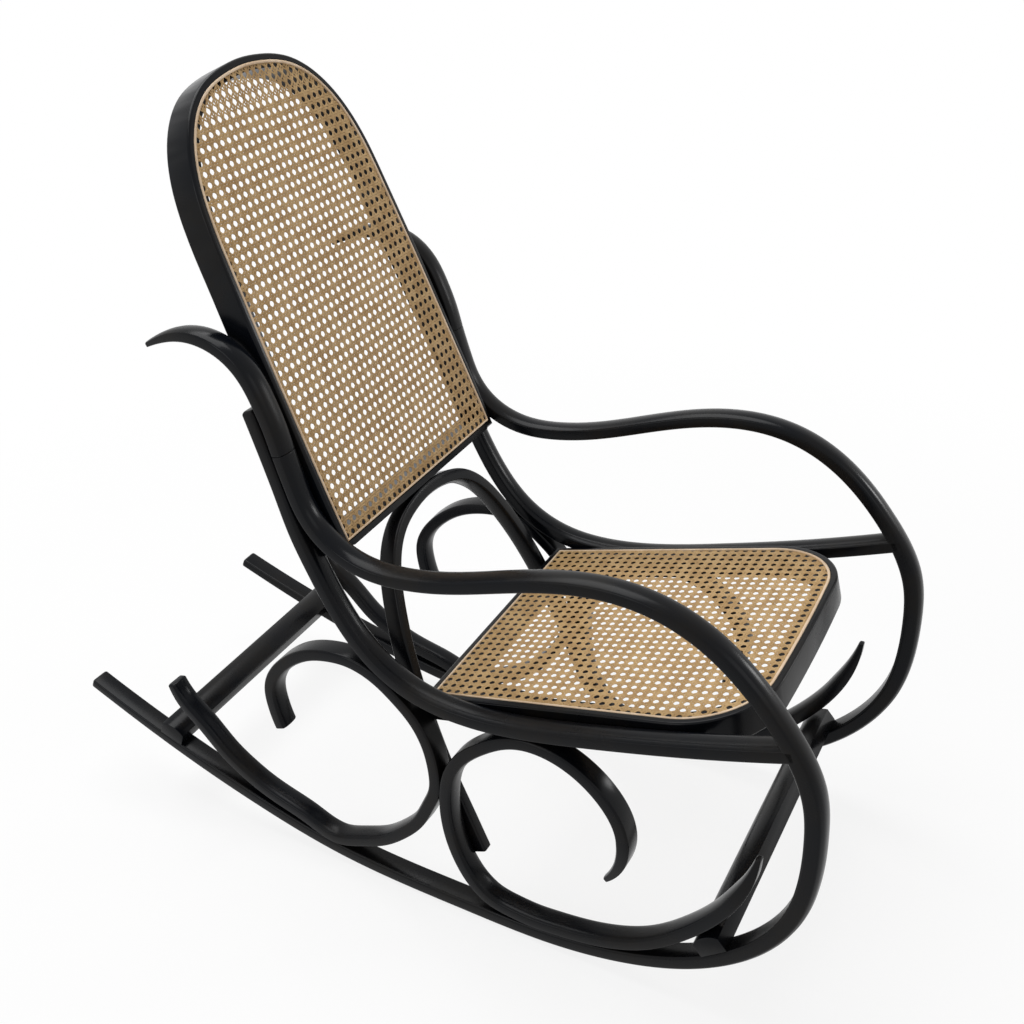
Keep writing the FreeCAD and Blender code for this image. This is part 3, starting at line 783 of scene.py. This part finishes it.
@dataclass
class CanePanel:
    """A sheet of woven cane: pairs both ways, crossed by single slanting strands."""

    node: str
    reed_node: str
    plane: Matrix
    middle: float = -1.2
    pitch: float = 12.7
    rows_each_way: int = 40
    pair_reach: float = 1.5
    wide: float = 2.75
    slant_wide: float = 2.35
    thick: float = 0.85
    rise: float = 0.4
    slant_rise: float = 0.72
    level_from: float = 0.34
    level_to: float = 0.66
    tuck: float = 3.0
    reed_wide: float = 3.6
    reed_rise: float = 1.7
    reed_root: float = 3.0
    reed_edge: float = 0.35
    reed_out: float = 2.5
    reed_sink: float = 0.1

    def outline(self) -> np.ndarray:
        """Return the sheet's convex outline in its own plane, in millimetres."""
        inverse = self.plane.inverted()
        corners = [(inverse @ vertex.co).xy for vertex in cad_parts[self.node].data.vertices]
        hull = [corners[index] for index in convex_hull_2d(corners)]
        points = np.array([tuple(corner) for corner in hull])
        turn = np.sum(points[:, 0] * np.roll(points[:, 1], -1)
                      - points[:, 1] * np.roll(points[:, 0], -1))
        return points if turn > 0 else points[::-1]

    @staticmethod
    def grown(outline: np.ndarray, by: float) -> np.ndarray:
        """Return an outline moved outwards by a distance."""
        sides = np.roll(outline, -1, axis=0) - outline
        outline = outline[np.linalg.norm(sides, axis=1) > SHORTEST_SIDE]
        sides = np.roll(outline, -1, axis=0) - outline
        out = np.stack([sides[:, 1], -sides[:, 0]], axis=1)
        out /= np.linalg.norm(out, axis=1)[:, None]
        mean = out + np.roll(out, 1, axis=0)
        mean /= (1 + np.sum(out * np.roll(out, 1, axis=0), axis=1))[:, None]
        return outline + mean * by

    @staticmethod
    def span(outline: np.ndarray, spot: np.ndarray,
             heading: np.ndarray) -> tuple[float, float] | None:
        """Return how far a line runs inside the outline, from low to high, or nothing.

        Args:
            outline: The corners of a convex outline, in turn to the left.
            spot: A place on the line.
            heading: The line's unit direction.

        Returns:
            Where the line enters and leaves, measured from the spot, or None if it is short.
        """
        sides = np.roll(outline, -1, axis=0) - outline
        inward = np.stack([-sides[:, 1], sides[:, 0]], axis=1)
        depth = np.sum((spot - outline) * inward, axis=1)
        rate = inward @ heading
        low, high = -FAR, FAR
        for start, speed in zip(depth, rate):
            if abs(speed) < ALONGSIDE:
                if start < 0:
                    return None
            elif speed > 0:
                low = max(low, -start / speed)
            else:
                high = min(high, -start / speed)
        return (low, high) if high - low > SHORTEST_STRAND else None

    def _strands(self, heading: np.ndarray, offsets: list[tuple[float, int]],
                 knots: Callable[[int], Points], period: float, wide: float,
                 name: str) -> bpy.types.Object:
        """Lay one set of parallel strands.

        Args:
            heading: The unit direction of the strands in the sheet.
            offsets: How far each strand lies to the left of the origin, and its kind.
            knots: For a kind, the heights at distances within one period.
            period: The length after which a strand's rise and fall repeats.
            wide: The strands' width.
            name: The piece's name.

        Returns:
            The strands as one mesh object.
        """
        half, deep = wide / 2, self.thick / 2
        path = swept_path(poly_profile(
            f"{name}_section", [(half * across, deep * up) for across, up in STRAND_SHAPE]), "3D")
        path.data.twist_mode = "Z_UP"
        outline = self.grown(self.outline(), self.tuck)
        left = np.array([-heading[1], heading[0]])
        for offset, kind in offsets:
            spot = left * offset
            run = self.span(outline, spot, heading)
            if run is None:
                continue
            places = [(run[0], 0.0)]
            for turn in range(math.floor(run[0] / period), math.ceil(run[1] / period) + 1):
                places += [(turn * period + along, height) for along, height in knots(kind)
                           if run[0] + KNOT_MARGIN < turn * period + along < run[1] - KNOT_MARGIN]
            places.append((run[1], 0.0))
            spline = path.data.splines.new("POLY")
            spline.points.add(len(places) - 1)
            for place, (along, height) in zip(spline.points, sorted(places)):
                where = spot + heading * along
                place.co = (where[0], where[1], self.middle + height, 1.0)
        piece = as_mesh(path, name)
        settle(piece, self.plane)
        smooth(piece, degrees=60)
        return piece

    def build(self, paints: Paints) -> None:
        """Weave the sheet in the place of its node, and lay the reed round it."""
        rows = self.rows_each_way
        pairs = [(index * self.pitch + kind * self.pair_reach, kind)
                 for index in range(-rows, rows + 1) for kind in (-1, 1)]
        slant = math.sqrt(0.5)
        lines = [((index + 0.5) * self.pitch * slant, index % 2)
                 for index in range(-2 * rows, 2 * rows)]
        level = (pairs, self._level_knots, self.pitch, self.wide)
        period = self.pitch * math.sqrt(2)
        rising = (lines, partial(self._slant_knots, way=1), period, self.slant_wide)
        falling = (lines, partial(self._slant_knots, way=-1), period, self.slant_wide)
        sets = {"across": ((1.0, 0.0), level), "along": ((0.0, 1.0), level),
                "rising": ((slant, slant), rising), "falling": ((slant, -slant), falling)}
        woven = {name: self._strands(np.array(heading), *laid, f"woven_{self.node}_{name}")
                 for name, (heading, laid) in sets.items()}
        for name, piece in woven.items():
            paints.dress(piece, Slot.CANE, self.node if name == "across" else None)
        self._reed(paints)

    def _level_knots(self, kind: int) -> Points:
        """Return the rise and fall of one strand of a pair over one pitch."""
        return [(-self.pair_reach, kind * self.rise), (self.pair_reach, -kind * self.rise),
                (self.level_from * self.pitch, 0.0), (self.level_to * self.pitch, 0.0)]

    def _slant_knots(self, kind: int, way: int) -> Points:
        """Return the rise and fall of a slanting strand: over one pair, under the next.

        Args:
            kind: Whether the strand starts beside an even or an odd row.
            way: 1 for the set that passes over the pairs that run across, -1 for the other.

        Returns:
            The heights at distances within one period.
        """
        quarter = self.pitch * math.sqrt(2) / 4
        high = self.slant_rise * way
        return [(quarter * (2 * step + 1), high if step % 2 == kind else -high)
                for step in range(2)]

    def _reed(self, paints: Paints) -> None:
        """Lay the half-round reed in its groove, in the place of its node."""
        half, dome = self.reed_wide / 2, 1 - self.reed_edge
        section = [(-half, -self.reed_root), (half, -self.reed_root)]
        section += [(across, self.reed_edge * self.reed_rise + up * dome * self.reed_rise / half)
                    for across, up in arc_points((0, 0), half, 0, 180, 2 * CORNER_STEPS)]
        path = swept_path(poly_profile(f"{self.reed_node}_section", section), "3D")
        path.data.twist_mode = "Z_UP"
        spline = path.data.splines.new("POLY")
        line = self.grown(self.outline(), self.reed_out)
        spline.points.add(len(line) - 1)
        for place, spot in zip(spline.points, line):
            place.co = (spot[0], spot[1], -self.reed_rise / 2 - self.reed_sink, 1.0)
        spline.use_cyclic_u = True
        piece = as_mesh(path, f"pressed_{self.reed_node}")
        settle(piece, self.plane)
        smooth(piece, degrees=50)
        paints.dress(piece, Slot.REED, self.reed_node)


# Room, light and camera


def seen_directly(tree: bpy.types.NodeTree) -> bpy.types.NodeSocket:
    """Return a socket that is 1 for the camera and for what shows in gloss or glass."""
    light = tree.nodes.new("ShaderNodeLightPath")
    total = light.outputs["Is Camera Ray"]
    for name in ("Is Glossy Ray", "Is Transmission Ray"):
        more = tree.nodes.new("ShaderNodeMath")
        more.operation = "MAXIMUM"
        link(tree, total, more.inputs[0])
        link(tree, light.outputs[name], more.inputs[1])
        total = more.outputs["Value"]
    return total


@dataclass(frozen=True)
class Lamp:
    """One square soft lamp: its place, aim and size in metres, and its power in watts."""

    name: str
    place: Place
    aim: Place
    size: float
    power: float

    def hang(self) -> None:
        """Hang the lamp in its place, turned to its aim."""
        bpy.ops.object.light_add(type="AREA", location=self.place)
        lamp = bpy.context.active_object
        lamp.name = self.name
        lamp.data.shape = "SQUARE"
        lamp.data.size = self.size
        lamp.data.energy = self.power
        facing = Vector(self.aim) - Vector(self.place)
        lamp.rotation_euler = facing.to_track_quat("-Z", "Y").to_euler()


LAMPS = (
    Lamp("high_soft_light", place=(0.3, 0.9, 3.4), aim=(0, 0.05, 0.4), size=2.4, power=90.0),
    Lamp("side_soft_light", place=(-3.6, 1.2, 1.9), aim=(0, 0, 0.5), size=1.6, power=24.0),
    Lamp("front_soft_light", place=(-0.4, -3.6, 2.4), aim=(0, 0, 0.5), size=1.6, power=9.0),
    Lamp("window_light", place=(2.4, -2.5, 1.3), aim=(0, 0, 0.4), size=0.6, power=14.0),
)


@dataclass
class Studio:
    """A plain pale floor under soft light."""

    floor_size: float = 60.0
    floor_tone: tuple[float, float, float] = (0.92, 0.92, 0.92)
    shadow_share: float = 0.16
    shadow_reach: float = 1.9
    shadow_core: float = 0.4
    world_light: float = 0.30

    def build(self) -> None:
        """Make the floor, the world and the lamps."""
        deselect()
        bpy.ops.mesh.primitive_plane_add(size=self.floor_size, location=(0, 0, 0))
        floor = bpy.context.active_object
        floor.name = "floor"
        floor.data.materials.append(self._pale_floor())
        self._world()
        for lamp in LAMPS:
            lamp.hang()

    def _pale_floor(self) -> bpy.types.Material:
        """Return a floor that shows white and keeps the object's shadow near its middle."""
        material = bpy.data.materials.new("pale_floor")
        material.use_nodes = True
        tree = material.node_tree
        shader = tree.nodes["Principled BSDF"]
        shader.inputs["Base Color"].default_value = (*self.floor_tone, 1.0)
        shader.inputs["Roughness"].default_value = 1.0
        glow = tree.nodes.new("ShaderNodeEmission")
        glow.inputs["Color"].default_value = (1.0, 1.0, 1.0, 1.0)
        place = tree.nodes.new("ShaderNodeTexCoord")
        away = tree.nodes.new("ShaderNodeVectorMath")
        away.operation = "LENGTH"
        whiteness = tree.nodes.new("ShaderNodeMapRange")
        whiteness.interpolation_type = "SMOOTHSTEP"
        whiteness.inputs["From Min"].default_value = self.shadow_core * self.shadow_reach
        whiteness.inputs["From Max"].default_value = self.shadow_reach
        whiteness.inputs["To Min"].default_value = 1 - self.shadow_share
        share = tree.nodes.new("ShaderNodeMath")
        share.operation = "MULTIPLY"
        mixed = tree.nodes.new("ShaderNodeMixShader")
        link(tree, place.outputs["Object"], away.inputs[0])
        link(tree, away.outputs["Value"], whiteness.inputs["Value"])
        link(tree, whiteness.outputs["Result"], share.inputs[0])
        link(tree, seen_directly(tree), share.inputs[1])
        link(tree, share.outputs["Value"], mixed.inputs["Fac"])
        link(tree, shader.outputs["BSDF"], mixed.inputs[1])
        link(tree, glow.outputs["Emission"], mixed.inputs[2])
        link(tree, mixed.outputs["Shader"], tree.nodes["Material Output"].inputs["Surface"])
        return material

    def _world(self) -> None:
        """Set a pale even world, white where it is seen."""
        world = bpy.data.worlds.new("even_light")
        bpy.context.scene.world = world
        world.use_nodes = True
        tree = world.node_tree
        background = tree.nodes["Background"]
        background.inputs["Color"].default_value = (1.0, 1.0, 1.0, 1.0)
        strength = tree.nodes.new("ShaderNodeMapRange")
        strength.inputs["To Min"].default_value = self.world_light
        strength.inputs["To Max"].default_value = 1.0
        link(tree, seen_directly(tree), strength.inputs["Value"])
        link(tree, strength.outputs["Result"], background.inputs["Strength"])


@dataclass
class Viewpoint:
    """The camera, at the photograph's place and angle."""

    place: Place = (-1.31193, -0.75290, 1.34507)
    right: Place = (0.49585712, -0.86628992, -0.06055973)
    down: Place = (-0.47295797, -0.21091397, -0.85546832)
    ahead: Place = (0.7283107, 0.45283227, -0.51430192)
    focal_pixels: float = 1292.44
    axis_pixel: tuple[float, float] = (426.77, 548.18)
    image_pixels: float = 1024.0
    sensor: float = 36.0

    def build(self) -> None:
        """Make the camera and set it as the scene's."""
        bpy.ops.object.camera_add()
        camera = bpy.context.active_object
        camera.name = "camera"
        lens = camera.data
        lens.sensor_width = self.sensor
        lens.lens = self.sensor * self.focal_pixels / self.image_pixels
        lens.shift_x = (self.image_pixels / 2 - self.axis_pixel[0]) / self.image_pixels
        lens.shift_y = (self.axis_pixel[1] - self.image_pixels / 2) / self.image_pixels
        lens.clip_start = 0.05
        lens.clip_end = 200.0
        turned = Matrix((self.right, tuple(-part for part in self.down),
                         tuple(-part for part in self.ahead))).transposed()
        camera.matrix_world = Matrix.Translation(self.place) @ turned.to_4x4()
        bpy.context.scene.camera = camera


def main() -> None:
    """Build the chair's pieces, the room and the camera."""
    logging.basicConfig(level=logging.INFO, format="%(name)s: %(message)s")
    bpy.context.scene.view_settings.view_transform = "Standard"
    Viewpoint().build()
    paints = Paints()
    for side in Side:
        SideFrame(side).build(paints)
    BackBrace().build(paints)
    for node in ("seat_hoop", "back_hoop", "seat_rear_rail", "back_bottom_rail"):
        FramedPiece(node).build(paints)
    for node in ("front_stretcher", "rear_stretcher"):
        FramedPiece(node, ease=0.002).build(paints)
    CanePanel("seat_cane", "seat_reed", SEAT_FRAME).build(paints)
    CanePanel("back_cane", "back_reed", BACK_FRAME @ FACING_FRONT).build(paints)
    Studio().build()


if __name__ == "__main__":
    main()
